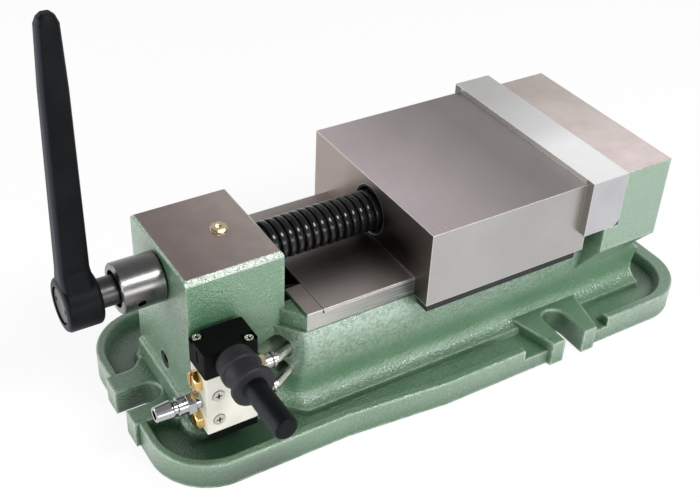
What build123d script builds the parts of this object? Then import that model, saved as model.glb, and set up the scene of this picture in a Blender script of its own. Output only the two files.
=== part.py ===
from build123d import *
from math import cos, pi, radians, sin, tan
import os

# Angle lock machine vise with an air over oil power unit in its base.
# Millimetres, +Z up. The origin is on the underside, below the clamping face of the fixed jaw.
# The screw lies along X, and the fixed jaw is at its +X end.

# General fits
shaft_gap = 0.1
slide_gap = 0.3
seat_gap = 0.05
cut_over = 1.0

# Tray that the whole base grows from
tray_left = 313.5
tray_right = 118.5
tray_half_left = 84.5
tray_half_right = 91.5
taper_start = -190.0
taper_end = -114.0
corner_left = 42.0
corner_right = 40.0
rim_height = 20.0
floor_height = 12.0
rim_left = 5.0
rim_side = 6.0
rim_right = 11.0
rim_draft = 4.0
rim_round = 1.5

# Bolt slots and their lugs
slot_width = 18.0
end_slot_width = 19.0
end_slot_centre = -297.3
end_lug_reach = 316.0
end_lug_half = 25.0
end_lug_flare = 9.0
end_lug_flare_start = -299.0
side_slot_x = -4.2
side_slot_y = 71.5
side_lug_reach = 95.0
side_lug_half_out = 20.4
side_lug_half_in = 31.7
side_lug_root = 52.0
notch_left = 22.5
notch_right = 14.5
slot_edge = 1.2

# Bed and ways
way_half = 57.9
way_top = 93.4
way_strip = 13.8
way_start = -208.5
way_plate_start = -196.5
way_plate_end = 8.0
way_plate_thick = 1.8
bed_end = 85.0
bed_mouth_half = 27.9
bed_mouth_narrow = 22.0
bed_roof = 72.0
cavity_start = -196.0
cavity_end = -52.0
cavity_half = 40.0
rear_cavity_start = 14.0
rear_cavity_end = 72.0
rear_cavity_half = 42.0
rear_cavity_top = 58.0
foot_half = way_half + 7.1
foot_height = 16.5
foot_toe = 3.0
foot_step = 8.0
waist_half = way_half - 3.4
waist_height = 29.0
shoulder_half = way_half + 5.1
shoulder_height = 64.0

# Nose block
nose_left = -282.8
nose_right = -216.3
nose_half = 42.2
nose_top = 134.4
nose_chamfer = 3.2
nose_end_chamfer = 1.5
nose_foot_ledge = 7.3
nose_foot_reach = 5.5
nose_foot_round = 12.0
nose_strip_top = 34.5
nose_strip_edge = 31.5
nose_strip_reach = 3.2
nose_strip_half = 38.3
cheek_start = -240.0
cheek_end = -204.0
pocket_x = -221.0
pocket_y = -45.5
pocket_angle = 23.0
pocket_upper_z = 63.4
pocket_lower_z = 46.2
pocket_upper_radius = 8.8
pocket_lower_radius = 6.6
pocket_depth = 12.0
gusset_top = 91.6

# Screw line
axis_z = 112.8
shaft_radius = 9.5
thread_radius = 16.0
thread_start = -211.0
thread_end = -97.0
shoulder_radius = thread_radius - 0.8
screw_shaft_end = -312.0
cylinder_radius = 16.0
cylinder_start = -274.0
bush_radius = 12.0
power_piston_thick = 10.0
bearing_race = 2.5
bearing_ball = 4.0
bearing_pitch_radius = 12.6
bearing_balls = 15
bearing_start = -226.0
piston_seal_width = 2.4
piston_seal_depth = 1.6

# Collar and clamping lever
collar_left = -311.7
collar_right = -283.2
collar_radius = 16.5
collar_mouth_radius = 12.2
collar_mouth_depth = 3.0
grub_radius = 2.8
grub_x = -300.3
grub_angle = 17.0
hub_left = -346.5
hub_right = -323.5
hub_radius = 17.5
hub_round = 3.0
insert_left = -329.5
teeth_left = -327.0
insert_core = 8.0
insert_teeth = 24
insert_tooth_depth = 0.9
hub_recess_radius = 12.2
hub_recess_depth = 12.5
cap_head_radius = 11.0
cap_head_thick = 3.0
cap_shank_radius = 4.0
lever_tip_z = 299.0
lever_mid_z = 255.0
lever_x_low = -336.0
lever_x_high = -332.5
lever_width_low = 19.0
lever_width_mid = 16.0
lever_width_high = 13.0
lever_depth_low = 16.0
lever_depth_mid = 12.5
lever_depth_high = 11.0
lever_dome = 6.0
lever_root = 14.0

# Jaws
jaw_length = 127.3
jaw_half = way_half + 15.8
jaw_top = 136.6
jaw_bottom = 79.9
jaw_lip = 7.3
jaw_bore_radius = 18.0
jaw_bore_end = -9.0
plate_thick = 31.2
plate_half = jaw_half + 6.3
plate_top = 140.6
plate_bottom = 97.3
plate_corner = 7.0
rear_end = 71.1
rear_half = plate_half - 0.2
rear_seat_x = 19.0
rear_skirt = 77.0
rear_root_y = 59.0
rear_root_z = 48.0
rear_back_chamfer = 16.0
wiper_height = 4.6
wiper_inner = way_half + 4.7
wiper_screws = 4
wiper_screw_inset = 12.0
wiper_screw_length = 8.0
wiper_screw_radius = 1.55
wiper_head_radius = 2.9
wiper_head_depth = 1.8
ring_inset = 0.3
ring_thick = 2.5
plate_screw_rows = (-54.0, -18.0, 18.0, 54.0)
plate_screw_z = 119.0
plate_screw_radius = 5.0
plate_head_radius = 8.0
plate_head_depth = 11.0
plate_screw_length = 48.0

# Nut and angle lock
nut_left = -jaw_length + 3.8
nut_front = nut_left + 32.5
nut_half = 38.0
nut_bottom = 94.3
nut_top = 130.0
nut_gap = 1.0
nut_room_run = 17.0
lock_y = 27.0
lock_x = nut_front - 8.0
lock_radius = 8.5
lock_drop = 7.0
jaw_travel = 88.0
guide_y = 31.0
guide_half = 5.0
guide_left = -33.0
guide_right = -23.0
guide_bottom = bed_roof - slide_gap
guide_slot_start = guide_left - jaw_travel - 1.5
guide_slot_end = guide_right + 2.0
hold_left = guide_left - 2.0
hold_right = guide_right + 2.0
hold_half = guide_y + guide_half
hold_thick = 6.0
hold_screw_radius = 2.5
hold_room = 2.0

# Air over oil booster in the base
booster_z = 42.6
booster_outer = 19.0
booster_inner = 17.0
booster_cap_thick = 9.0
booster_cap_half = 19.5
booster_piston_x = -176.0
booster_piston_thick = 12.0
ram_radius = 6.0
ram_tip = -262.0
oil_bore_radius = 6.5
tie_rod_radius = 2.5
tie_rod_offset = 16.2
plug_x = -240.7
plug_radius = 4.2
plug_hex = 9.0
plug_proud = 2.2
bore_plug_depth = 8.0

# Hand lever valve
valve_left = -284.0
valve_right = -249.0
valve_front = -68.0
valve_back = -45.5
valve_bottom = 33.5
valve_split = 79.8
valve_top = 99.3
valve_cap_thick = 6.0
valve_cap_inset = 2.0
valve_port_y = -57.0
valve_port_z = (40.0, 55.5, 71.5)
port_depth = 6.0
outlet_y = -57.0
outlet_z = (44.0, 66.0)
valve_screw_x = -276.0
valve_screw_z = (43.6, 63.5)
valve_screw_radius = 3.8
head_step = 3.0
head_ear = 7.5
spool_radius = 4.6
spool_y = -56.0
spool_bottom = 39.0
valve_pivot_y = -66.0
valve_pivot_z = 91.0
valve_pin_radius = 1.5
valve_pin_half = 9.5
valve_pin_gap = 0.08
head_mark_y = -58.2
head_mark_half = 0.9
head_mark_low = 86.5
head_mark_high = 95.5
head_mark_depth = 1.5
valve_ball_radius = 7.6
valve_rod_radius = 4.0
finger_radius = 2.4
dome_radius = 11.4
dome_mouth = 44.0
boot_base_radius = 12.2
boot_base_gap = 5.4
boot_lip_y = -80.0
boot_lip_radius = 13.2
boot_lip_width = 2.4
boot_waist = 10.2
boot_flange_y = -95.0
boot_flange_radius = 14.0
boot_flange_thick = 3.5
knob_end = -137.5
knob_radius = 7.6
silencer_radius = 7.1
silencer_length = 5.0
silencer_hex = 12.6
silencer_slot = 2.4
plug_reach = 30.0
coupler_hex = 13.0
coupler_bore = 3.2
fitting_hex = 13.0
fitting_nut = 9.5
fitting_length = 17.5
fitting_collar = 5.0
tube_radius = 3.7
tube_bend = 6.0
tube_angle = 29.0
tube_lead = 2.0
tube_seat = 6.0

mid_x = (valve_left + valve_right) / 2
lock_z = axis_z - lock_drop


def block(x0, x1, y0, y1, z0, z1):
    size = Box(x1 - x0, y1 - y0, z1 - z0)
    return Pos((x0 + x1) / 2, (y0 + y1) / 2, (z0 + z1) / 2) * size


def rod_x(radius, x0, x1, y=0.0, z=0.0):
    rod = Cylinder(radius, x1 - x0, align=(Align.CENTER, Align.CENTER, Align.MIN))
    return Pos(x0, y, z) * Rot(0, 90, 0) * rod


def rod_y(radius, y0, y1, x=0.0, z=0.0):
    rod = Cylinder(radius, y1 - y0, align=(Align.CENTER, Align.CENTER, Align.MIN))
    return Pos(x, y0, z) * Rot(-90, 0, 0) * rod


def rod_z(radius, z0, z1, x=0.0, y=0.0):
    rod = Cylinder(radius, z1 - z0, align=(Align.CENTER, Align.CENTER, Align.MIN))
    return Pos(x, y, z0) * rod


def hex_x(across, x0, x1, y, z):
    prism = extrude(RegularPolygon(across / 2, 6, major_radius=False), x1 - x0)
    return Pos(x0, y, z) * Rot(0, 90, 0) * prism


def turned_x(profile, y, z):
    """Revolve (x, radius) points about a line along X."""
    outline = Polyline(*[(x, r) for x, r in profile], close=True)
    return Pos(0, y, z) * revolve(make_face(outline), Axis.X)


def turned_y(profile, x, z):
    """Revolve (y, radius) points about a line along Y."""
    outline = Polyline(*[(r, y) for y, r in profile], close=True)
    return Pos(x, 0, z) * revolve(make_face(outline), Axis.Y)


def along_x(points, x0, x1):
    """Extrude a closed outline of (y, z) points from x0 to x1."""
    face = make_face(Polyline(*[(x0, y, z) for y, z in points], close=True))
    return extrude(face, amount=x1 - x0, dir=(1, 0, 0))


def along_y(points, y0, y1):
    """Extrude a closed outline of (x, z) points from y0 to y1."""
    face = make_face(Polyline(*[(x, y0, z) for x, z in points], close=True))
    return extrude(face, amount=y1 - y0, dir=(0, 1, 0))


def along_z(points, z0, z1):
    """Extrude a closed outline of (x, y) points from z0 to z1."""
    face = make_face(Polyline(*[(x, y, z0) for x, y in points], close=True))
    return extrude(face, amount=z1 - z0, dir=(0, 0, 1))


def cap_screw(head_radius, head_depth, radius, length, socket):
    """Socket head screw along -Z with its head above z = 0."""
    head = Cylinder(head_radius, head_depth, align=(Align.CENTER, Align.CENTER, Align.MIN))
    shank = Cylinder(radius, length, align=(Align.CENTER, Align.CENTER, Align.MAX))
    hole = extrude(RegularPolygon(socket / 2, 6, major_radius=False), head_depth * 0.6)
    return head + shank - Pos(0, 0, head_depth * 0.4) * hole


def tray_face(inset_left, inset_side, inset_right, height):
    left = -tray_left + inset_left
    right = tray_right - inset_right
    low = tray_half_left - inset_side
    high = tray_half_right - inset_side
    points = [(left, -low), (taper_start, -low), (taper_end, -high), (right, -high)]
    points += [(right, high), (taper_end, high), (taper_start, low), (left, low)]
    face = make_face(Polyline(*points, close=True))
    ends = [v for v in face.vertices() if v.X < left + 0.1]
    face = fillet(ends, corner_left - inset_left)
    ends = [v for v in face.vertices() if v.X > right - 0.1]
    face = fillet(ends, corner_right - inset_side)
    return Pos(0, 0, height) * face


def tray():
    body = extrude(tray_face(0, 0, 0, 0), rim_height)
    floor = tray_face(rim_left + rim_draft, rim_side + rim_draft, rim_right + rim_draft, floor_height)
    mouth = tray_face(rim_left, rim_side, rim_right, rim_height)
    body -= loft([floor, mouth])
    rim = [e for e in body.edges() if e.bounding_box().min.Z > rim_height - 0.01]
    return fillet(rim, rim_round)


def side_lug(side):
    """One bolt lug with the low gaps in the rim on both of its flanks."""
    left_out = side_slot_x - side_lug_half_out
    right_out = side_slot_x + side_lug_half_out
    points = [(left_out, side * side_lug_reach), (right_out, side * side_lug_reach)]
    points += [(side_slot_x + side_lug_half_in, side * side_lug_root)]
    points += [(side_slot_x - side_lug_half_in, side * side_lug_root)]
    return along_z(points, 0, rim_height)


def rim_notches(side):
    inner = tray_half_right - rim_side - rim_draft - cut_over
    outer = side_lug_reach + cut_over
    y0, y1 = sorted((side * inner, side * outer))
    left_edge = side_slot_x - side_lug_half_out
    right_edge = side_slot_x + side_lug_half_out
    left = block(left_edge - notch_left, left_edge, y0, y1, floor_height, rim_height + cut_over)
    right = block(right_edge, right_edge + notch_right, y0, y1, floor_height, rim_height + cut_over)
    return left + right


def slot_cut(width, length, top):
    """U slot open along -X, with its round end at the origin."""
    run = block(-length, 0, -width / 2, width / 2, -cut_over, top + cut_over)
    end = rod_z(width / 2, -cut_over, top + cut_over)
    bevel = Cone(width / 2, width / 2 + slot_edge, slot_edge, align=(Align.CENTER, Align.CENTER, Align.MAX))
    wide = width / 2 + slot_edge
    bevel_run = along_x([(-wide, top), (wide, top), (width / 2, top - slot_edge),
                         (-width / 2, top - slot_edge)], -length, 0)
    return run + end + Pos(0, 0, top) * bevel + bevel_run


def bed_levels():
    """Rows of height, half width of the bed, half width beside the nose, and left end."""
    return [
        (foot_height, foot_half, nose_half + nose_foot_ledge, nose_left - nose_foot_reach),
        (foot_height + 4, foot_half - foot_step, nose_half + nose_foot_ledge / 2,
         nose_left - nose_foot_reach / 2),
        (waist_height, waist_half, nose_half - 0.5, nose_left + 4),
        ((waist_height + shoulder_height) / 2, (waist_half + shoulder_half) / 2,
         nose_half - 1.5, nose_left + 5),
        (shoulder_height, shoulder_half, nose_half - 1.5, nose_left + 5),
        (way_top - way_strip, way_half + 0.8, nose_half - 1.5, nose_left + 5),
    ]


def level_face(z, bed_y, nose_y, left):
    """Outline of the nose foot, the two hollow cheeks and the bed at one height."""
    ball = nose_foot_round
    slant = ball * (1 - cos(pi / 4))
    run = cheek_end - cheek_start
    rise = bed_y - nose_y
    front = [(cheek_start, -nose_y, z), (cheek_start + 0.40 * run, -nose_y - 0.06 * rise, z)]
    front += [(cheek_start + 0.63 * run, -nose_y - 0.50 * rise, z)]
    front += [(cheek_start + 0.765 * run, -nose_y - 0.86 * rise, z), (cheek_end, -bed_y, z)]
    back = [(x, -y, level) for x, y, level in reversed(front)]
    edges = [
        ThreePointArc((left, ball - nose_y, z), (left + slant, slant - nose_y, z),
                      (left + ball, -nose_y, z)),
        Line((left + ball, -nose_y, z), front[0]),
        Spline(*front, tangents=[(1, 0, 0), (1, 0, 0)]),
        Line(front[-1], (bed_end, -bed_y, z)),
        Line((bed_end, -bed_y, z), (bed_end, bed_y, z)),
        Line((bed_end, bed_y, z), back[0]),
        Spline(*back, tangents=[(-1, 0, 0), (-1, 0, 0)]),
        Line(back[-1], (left + ball, nose_y, z)),
        ThreePointArc((left + ball, nose_y, z), (left + slant, nose_y - slant, z),
                      (left, nose_y - ball, z)),
        Line((left, nose_y - ball, z), (left, ball - nose_y, z)),
    ]
    return make_face(edges)


def bed():
    """Foot, hollow flanks and ways; the flanks run round the end of the bed into the nose."""
    rail_low = way_top - way_strip
    levels = bed_levels()
    z, bed_y, nose_y, left = levels[0]
    toe = level_face(floor_height - 4, bed_y + foot_toe, nose_y + foot_toe, left - foot_toe)
    lower = loft([toe, level_face(*levels[0])], ruled=True)
    lower += loft([level_face(*level) for level in levels])
    slope = [(60, 95), (60, 71), (70, 60), (80, 48), (bed_end + 1, 44), (bed_end + 1, 95)]
    lower -= along_y(slope, -90, 90)
    rail = block(way_start, rear_seat_x + 2, -way_half, way_half, rail_low - 2, way_top)
    rail -= block(way_plate_start, rear_seat_x + 3, -way_half - 1, way_half + 1,
                  way_top - way_plate_thick, way_top + 1)
    return lower + rail


def rear_body():
    """Block behind the fixed jaw plate, flared out over the bed."""
    half = [(rear_half, plate_bottom), (rear_half, rear_skirt), (rear_root_y, rear_root_z)]
    outline = half + [(-y, z) for y, z in reversed(half)]
    skirt = along_x(outline, rear_seat_x, rear_end)
    low_end = [(rear_end - 11, rear_root_z - 1), (rear_end - 11, rear_skirt - 8), (rear_end, rear_skirt),
               (rear_end + 1, rear_skirt), (rear_end + 1, rear_root_z - 1)]
    skirt -= along_y(low_end, -90, 90)
    top = block(plate_thick, rear_end, -rear_half, rear_half, plate_bottom - 1, plate_top)
    chamfer_cut = [(rear_half - rear_back_chamfer, plate_top), (rear_half + 1, plate_top + 1),
                   (rear_half + 1, plate_top - rear_back_chamfer - 1)]
    top -= along_x(chamfer_cut, plate_thick - 1, rear_end + 1)
    seat = block(way_plate_end, rear_seat_x + 1, -way_half, way_half, way_top - 8, plate_bottom)
    return skirt + top + seat


def nose():
    body = block(nose_left, nose_right, -nose_half, nose_half, 5, nose_top)
    body = chamfer(body.edges().group_by(Axis.Z)[-1].filter_by(Axis.X), nose_chamfer)
    body = chamfer(body.edges().group_by(Axis.Z)[-1].filter_by(Axis.Y), nose_end_chamfer)
    for side in (-1, 1):
        outer = side * (way_half - 0.5)
        plan = [(nose_right - 4.5, side * (nose_half - 1)), (way_start - 0.2, outer), (way_start + 1, outer)]
        plan += [(way_start + 1, side * (nose_half - 5)), (nose_right - 4.5, side * (nose_half - 5))]
        body += along_z(plan, way_top - way_strip - 2, gusset_top)
    ledge = nose_left - nose_strip_reach
    strip = [(nose_left + 1, nose_strip_top), (nose_left, nose_strip_top)]
    strip += [(ledge + 0.6, nose_strip_edge + 1.5), (ledge, nose_strip_edge)]
    strip += [(ledge - 0.2, rim_height - 1), (nose_left + 1, rim_height - 1)]
    return body + along_y(strip, -nose_strip_half, nose_strip_half)


def end_lug():
    """Lug at the nose end, flared into the foot of the nose."""
    flare = end_lug_flare
    points = [(-end_lug_reach, -end_lug_half), (end_lug_flare_start, -end_lug_half)]
    points += [(end_lug_flare_start + 0.55 * flare, -end_lug_half - 0.25 * flare)]
    points += [(end_lug_flare_start + flare, -end_lug_half - 0.8 * flare)]
    points += [(nose_left + 2, -end_lug_half - flare)]
    points += [(x, -y) for x, y in reversed(points)]
    return along_z(points, 0, rim_height)


def pocket_line(z):
    """Plane on the axis of a slanted air line pocket, looking into the casting."""
    slant = radians(pocket_angle)
    across = (-sin(slant), cos(slant), 0)
    along = (cos(slant), sin(slant), 0)
    return Plane(origin=(pocket_x, pocket_y, z), x_dir=across, z_dir=along)


def tube_pocket(z, radius):
    hole = Cylinder(radius, pocket_depth + 20, align=(Align.CENTER, Align.CENTER, Align.MIN))
    return pocket_line(z) * (Pos(0, 0, -20) * hole)


def screw_line_bores():
    shaft = rod_x(shaft_radius + 0.5, nose_left - cut_over, cylinder_start, 0, axis_z)
    bush = rod_x(bush_radius, nose_left + 1.5, cylinder_start, 0, axis_z)
    cylinder = rod_x(cylinder_radius, cylinder_start, nose_right + cut_over, 0, axis_z)
    fill = rod_z(plug_radius, axis_z, nose_top + cut_over, plug_x, 0)
    oil = rod_x(oil_bore_radius, nose_left - cut_over, cavity_start + cut_over, 0, booster_z)
    riser = rod_z(3, booster_z, axis_z - 5, cylinder_start + 8, 0)
    return shaft + bush + cylinder + fill + oil + riser


def guide_slot(side):
    """Slot through the ways for one guide lug of the moving jaw, under the closed jaw."""
    y0, y1 = sorted((side * (guide_y - guide_half - slide_gap), side * (guide_y + guide_half + slide_gap)))
    return block(guide_slot_start, guide_slot_end, y0, y1, bed_roof - 1, way_top + 1)


def base_casting():
    body = tray()
    for side in (-1, 1):
        body -= rim_notches(side)
    body += end_lug()
    for side in (-1, 1):
        body += side_lug(side)
    body += bed()
    body += nose()
    body += rear_body()
    end_cut = slot_cut(end_slot_width, end_lug_reach + end_slot_centre + 10, rim_height)
    body -= Pos(end_slot_centre, 0, 0) * end_cut
    for side in (-1, 1):
        cut = slot_cut(slot_width, side_lug_reach - side_slot_y + 10, rim_height)
        body -= Pos(side_slot_x, side * side_slot_y, 0) * Rot(0, 0, -90 * side) * cut
    body -= block(cavity_start, cavity_end, -cavity_half, cavity_half, -cut_over, bed_roof)
    body -= block(rear_cavity_start, rear_cavity_end, -rear_cavity_half, rear_cavity_half,
                  -cut_over, rear_cavity_top)
    body -= block(cavity_end - 1, hold_right + hold_room, -hold_half - hold_room, hold_half + hold_room,
                  guide_bottom - hold_thick - 3, bed_roof)
    for side in (-1, 1):
        body -= guide_slot(side)
    mouth = [(nose_right, -bed_mouth_narrow), (way_plate_start, -bed_mouth_half)]
    mouth += [(x, -y) for x, y in reversed(mouth)]
    body -= along_z(mouth, bed_roof - hold_thick, way_top + 1)
    body -= screw_line_bores()
    body -= tube_pocket(pocket_upper_z, pocket_upper_radius)
    body -= tube_pocket(pocket_lower_z, pocket_lower_radius)
    body -= air_tube(outlet_z[1], pocket_upper_z, seat_gap)
    body -= air_tube(outlet_z[0], pocket_lower_z, seat_gap)
    for y in plate_screw_rows:
        body -= rod_x(plate_screw_radius + seat_gap, plate_thick - 1, plate_screw_length + 1,
                      y, plate_screw_z)
    return body


def way_plate():
    plate = block(way_plate_start + 0.3, way_plate_end, -way_half, way_half,
                  way_top - way_plate_thick, way_top)
    for side in (-1, 1):
        plate -= guide_slot(side)
    return plate


def fixed_jaw_plate():
    plate = block(0, plate_thick, -plate_half, plate_half, plate_bottom, plate_top)
    low_back = plate.edges().filter_by(Axis.Y).sort_by(lambda e: e.center().X - e.center().Z)[-1]
    plate = fillet(low_back, plate_corner)
    for y in plate_screw_rows:
        plate -= rod_x(plate_screw_radius + 0.3, -1, plate_thick + 1, y, plate_screw_z)
        plate -= rod_x(plate_head_radius + 0.3, -1, plate_head_depth + 1, y, plate_screw_z)
    return plate


def fixed_jaw_screws():
    screws = []
    for y in plate_screw_rows:
        length = plate_screw_length - plate_head_depth - 1
        screw = cap_screw(plate_head_radius, plate_head_depth - 1, plate_screw_radius, length, 8)
        screws.append(Pos(plate_head_depth + 1, y, plate_screw_z) * Rot(0, -90, 0) * screw)
    return Compound(screws)


def nut_outline(gap):
    """Side outline of the nut as (x, z) points, grown by gap."""
    slope_z = nut_front - lock_x + lock_z
    front = nut_front + gap
    low = nut_bottom - gap
    slope_top = slope_z - 0.4 * gap
    drop = slope_top - low
    return [(nut_left - gap, low), (front - drop, low), (front, slope_top), (front, nut_top + gap),
            (nut_left - gap, nut_top + gap)]



def lock_sphere(radius, y):
    return Pos(lock_x, y, lock_z) * Sphere(radius)


def jaw_nut():
    body = along_y(nut_outline(0), -nut_half, nut_half)
    return body - rod_x(thread_radius + 0.25, nut_left - 1, nut_front + 1, 0, axis_z)


def angle_lock_balls():
    """Two half balls, flat side on the sloped nut face and round side in the jaw."""
    halves = []
    for y in (-lock_y, lock_y):
        ball = lock_sphere(lock_radius, y)
        half = Box(4 * lock_radius, 4 * lock_radius, 2 * lock_radius,
                   align=(Align.CENTER, Align.CENTER, Align.MIN))
        keep = Pos(lock_x, y, lock_z) * Rot(0, 135, 0) * half
        halves.append(ball & keep)
    return Compound(halves)


def guide_mid():
    return (guide_left + guide_right) / 2


def hold_down_plate():
    """Plate under the roof of the bed that keeps the guide lugs of the jaw down."""
    low = guide_bottom - hold_thick
    body = block(hold_left, hold_right, -hold_half, hold_half, low, guide_bottom)
    for y in (-guide_y, guide_y):
        body -= rod_z(hold_screw_radius + 0.3, low - 1, guide_bottom + 1, guide_mid(), y)
        body -= rod_z(hold_screw_radius + 2.3, low - 1, guide_bottom - 3, guide_mid(), y)
    return body


def hold_down_screws():
    screws = []
    for y in (-guide_y, guide_y):
        screw = cap_screw(hold_screw_radius + 2, 2.8, hold_screw_radius - seat_gap, 13, 3)
        screws.append(Pos(guide_mid(), y, guide_bottom - 3) * Rot(180, 0, 0) * screw)
    return Compound(screws)


def moving_jaw():
    body = block(-jaw_length, 0, -jaw_half, jaw_half, jaw_bottom, jaw_top)
    for side in (-1, 1):
        y0, y1 = sorted((side * (way_half + slide_gap), side * jaw_half))
        body += block(-1, jaw_lip, y0, y1, jaw_bottom, plate_bottom - 1)
    body -= block(-jaw_length - 1, jaw_lip + 1, -way_half - slide_gap, way_half + slide_gap,
                  jaw_bottom - 1, way_top + slide_gap)
    body -= rod_x(jaw_bore_radius, -jaw_length - 1, jaw_bore_end, 0, axis_z)
    nut_room = along_y(nut_outline(nut_gap), -nut_half - nut_gap, nut_half + nut_gap)
    body -= nut_room
    body -= block(nut_left - nut_gap, nut_front - nut_room_run, -nut_half - nut_gap, nut_half + nut_gap,
                  jaw_bottom, nut_bottom)
    for y in (-guide_y, guide_y):
        body += block(guide_left, guide_right, y - guide_half, y + guide_half,
                      guide_bottom, way_top + slide_gap + 1)
        body -= rod_z(hold_screw_radius, guide_bottom - 1, guide_bottom + 11, guide_mid(), y)
    for y in (-lock_y, lock_y):
        body -= lock_sphere(lock_radius + 0.1, y)
    for side in (-1, 1):
        for x in wiper_screw_places():
            body -= rod_z(wiper_screw_radius + seat_gap, jaw_bottom - 1, jaw_bottom + wiper_screw_length,
                          x, side * wiper_mid())
    return body


def wiper_mid():
    return (wiper_inner + jaw_half) / 2


def wiper_screw_places():
    pitch = (jaw_length - 2 * wiper_screw_inset) / (wiper_screws - 1)
    return [-jaw_length + wiper_screw_inset + pitch * i for i in range(wiper_screws)]


def jaw_wiper(side):
    y0, y1 = sorted((side * wiper_inner, side * jaw_half))
    strip = block(-jaw_length + 0.5, 0, y0, y1, jaw_bottom - wiper_height, jaw_bottom)
    for x in wiper_screw_places():
        strip -= rod_z(wiper_screw_radius + 0.25, jaw_bottom - wiper_height - 1, jaw_bottom + 1,
                       x, side * wiper_mid())
        strip -= rod_z(wiper_head_radius + 0.2, jaw_bottom - wiper_height - 1,
                       jaw_bottom - wiper_height + wiper_head_depth + 0.2, x, side * wiper_mid())
    return strip


def jaw_wiper_screws():
    screws = []
    for side in (-1, 1):
        for x in wiper_screw_places():
            screw = cap_screw(wiper_head_radius, wiper_head_depth, wiper_screw_radius, wiper_screw_length, 2)
            head_z = jaw_bottom - wiper_height + wiper_head_depth + 0.2
            place = Pos(x, side * wiper_mid(), head_z) * Rot(180, 0, 0)
            screws.append(place * screw)
    return Compound(screws)


def screw_wiper_ring():
    """Scraper ring inside the mouth of the jaw bore."""
    x0 = -jaw_length + ring_inset
    x1 = x0 + ring_thick
    inner = thread_radius + 0.5
    outer = jaw_bore_radius - seat_gap
    return turned_x([(x0, inner), (x0, outer), (x1, outer), (x1, inner)], 0, axis_z)


def main_screw():
    """Shaft, shoulder and the screw itself over its crests; its thread is cut in the scene."""
    shoulder_x = bearing_start + 2 * bearing_race + bearing_ball
    points = [(screw_shaft_end, 0), (screw_shaft_end, shaft_radius - 1), (screw_shaft_end + 1, shaft_radius)]
    points += [(shoulder_x, shaft_radius), (shoulder_x, shoulder_radius), (thread_start, shoulder_radius)]
    points += [(thread_start, thread_radius), (thread_end - 1, thread_radius)]
    points += [(thread_end, thread_radius - 1), (thread_end, 0)]
    body = turned_x(points, 0, axis_z)
    body -= rod_x(cap_shank_radius, screw_shaft_end - 1, screw_shaft_end + 8, 0, axis_z)
    return body


def grub_turn():
    """Turn about the screw that brings the grub screw below the middle of the collar."""
    return Pos(0, 0, axis_z) * Rot(grub_angle, 0, 0) * Pos(0, 0, -axis_z)


def screw_collar():
    body = turned_x([(collar_left, shaft_radius + seat_gap), (collar_left, collar_radius - 0.8),
                     (collar_left + 0.8, collar_radius), (collar_right - 0.8, collar_radius),
                     (collar_right, collar_radius - 0.8), (collar_right, shaft_radius + seat_gap)],
                    0, axis_z)
    body -= rod_x(collar_mouth_radius, collar_left - 1, collar_left + collar_mouth_depth, 0, axis_z)
    turn = grub_turn()
    body -= turn * rod_y(grub_radius, -collar_radius - 1, 0, grub_x, axis_z)
    return body


def collar_grub_screw():
    body = rod_y(grub_radius - seat_gap, -collar_radius + 2.5, -shaft_radius - seat_gap, grub_x, axis_z)
    socket = extrude(RegularPolygon(1.5, 6, major_radius=False), 2.5)
    body -= Pos(grub_x, -collar_radius + 2.4, axis_z) * Rot(-90, 0, 0) * socket
    return grub_turn() * body


def toothed_face(root, crest):
    points = []
    for i in range(insert_teeth):
        for part, radius in ((0.0, root), (0.3, crest), (0.5, crest), (0.8, root)):
            angle = 2 * pi * (i + part) / insert_teeth
            points.append((radius * cos(angle), radius * sin(angle)))
    return make_face(Polyline(*points, close=True))


def lever_insert():
    """Black toothed sleeve that the lever hub sits on."""
    neck = rod_x(shaft_radius, hub_right + 1, screw_shaft_end - seat_gap, 0, axis_z)
    core = rod_x(insert_core, insert_left, hub_right + 2, 0, axis_z)
    star = toothed_face(shaft_radius, shaft_radius + insert_tooth_depth)
    teeth = extrude(star, hub_right + 1 - teeth_left)
    body = neck + core + Pos(teeth_left, 0, axis_z) * Rot(0, 90, 0) * teeth
    body -= rod_x(cap_shank_radius + seat_gap, insert_left - 1, screw_shaft_end + 1, 0, axis_z)
    return body


def lever_cap_screw():
    head = rod_x(cap_head_radius, hub_left + 0.8, hub_left + 0.8 + cap_head_thick, 0, axis_z)
    for y in (-cap_head_radius, cap_head_radius):
        head -= rod_x(1.6, hub_left, hub_left + 2.4, y * 0.72, axis_z)
    shank = rod_x(cap_shank_radius - seat_gap, hub_left + 2, screw_shaft_end + 7, 0, axis_z)
    return head + shank


def lever_section(z, x, width, depth, rounding):
    face = RectangleRounded(width, depth, rounding)
    return Pos(x, 0, z) * face


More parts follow.
